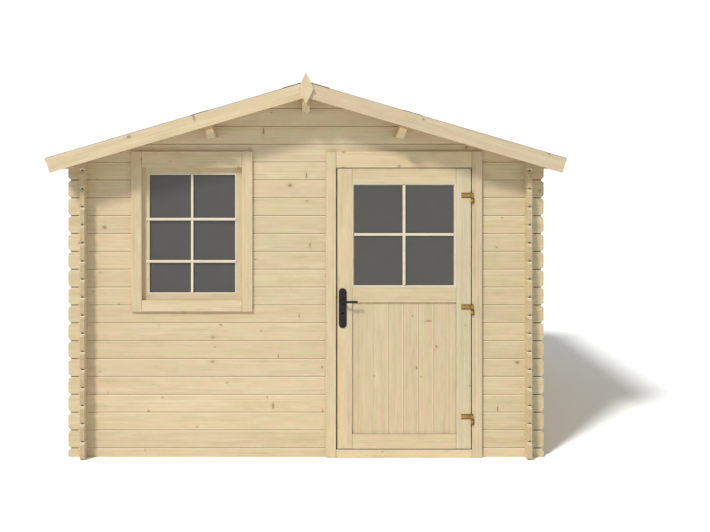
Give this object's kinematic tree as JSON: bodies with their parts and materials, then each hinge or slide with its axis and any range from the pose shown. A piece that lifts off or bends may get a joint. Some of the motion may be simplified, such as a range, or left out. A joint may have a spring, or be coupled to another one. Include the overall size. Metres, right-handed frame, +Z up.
{
  "type": "garden log shed",
  "caption": "Gable-roofed garden shed of interlocking logs, with a glazed window, a hinged half-glazed door and overhanging purlins.",
  "frame": {"origin": "on the ground at the centre of the shed, under the middle of the ridge", "axes": "+Z up, -Y the way the door and window face, +X to the right as the front is faced; the ridge runs along Y"},
  "size_m": [3.1582, 3.3366, 2.3915],
  "materials": {
    "log_wood": "planed bare spruce",
    "roof_wood": "planed bare spruce",
    "trim_wood": "planed bare spruce",
    "glass": "clear float glass",
    "felt": "mineral-faced roofing felt",
    "hinge_brass": "yellow-passivated steel",
    "dark_metal": "dark grey coated"
  },
  "bodies": {
    "shed": {"front_wall_under_window": "log_wood", "front_wall_left": "log_wood", "front_wall_middle": "log_wood", "front_wall_right": "log_wood", "front_gable": "log_wood", "left_wall": "log_wood", "right_wall": "log_wood", "back_wall": "log_wood", "back_gable": "log_wood", "ridge_purlin": "roof_wood", "left_purlin": "roof_wood", "right_purlin": "roof_wood", "roof_deck_left": "roof_wood", "roof_deck_right": "roof_wood", "roofing_felt_left": "felt", "roofing_felt_right": "felt", "left_eave_board": "roof_wood", "right_eave_board": "roof_wood", "front_fascia_left": "trim_wood", "front_fascia_right": "trim_wood", "back_fascia_left": "trim_wood", "back_fascia_right": "trim_wood", "front_finial": "trim_wood", "back_finial": "trim_wood", "window_frame_left": "trim_wood", "window_frame_right": "trim_wood", "window_frame_head": "trim_wood", "window_frame_sill": "trim_wood", "window_sash": "trim_wood", "window_glass": "glass", "door_frame_left": "trim_wood", "door_frame_right": "trim_wood", "door_frame_head": "trim_wood", "door_sill": "trim_wood", "frame_hinge_plates": "hinge_brass"},
    "door": {"door_left_stile": "trim_wood", "door_right_stile": "trim_wood", "door_top_rail": "trim_wood", "door_mid_rail": "trim_wood", "door_bottom_rail": "trim_wood", "door_panel": "trim_wood", "door_glass": "glass", "door_hinge_straps": "hinge_brass", "lock_plates": "dark_metal"},
    "lever": {"door_lever": "dark_metal"}
  },
  "joints": [
    {"name": "door_hinge", "type": "hinge", "parent": "shed", "child": "door", "pos_m": [1.037, -1.4276, 0.926], "axis": [0, 0, 1], "range_deg": [0, 150]},
    {"name": "lever_turn", "type": "hinge", "parent": "door", "child": "lever", "pos_m": [0.229, -1.42, 0.981], "axis": [0, 1, 0], "range_deg": [0, 40], "stiffness_Nm_per_rad": 1.2}
  ]
}
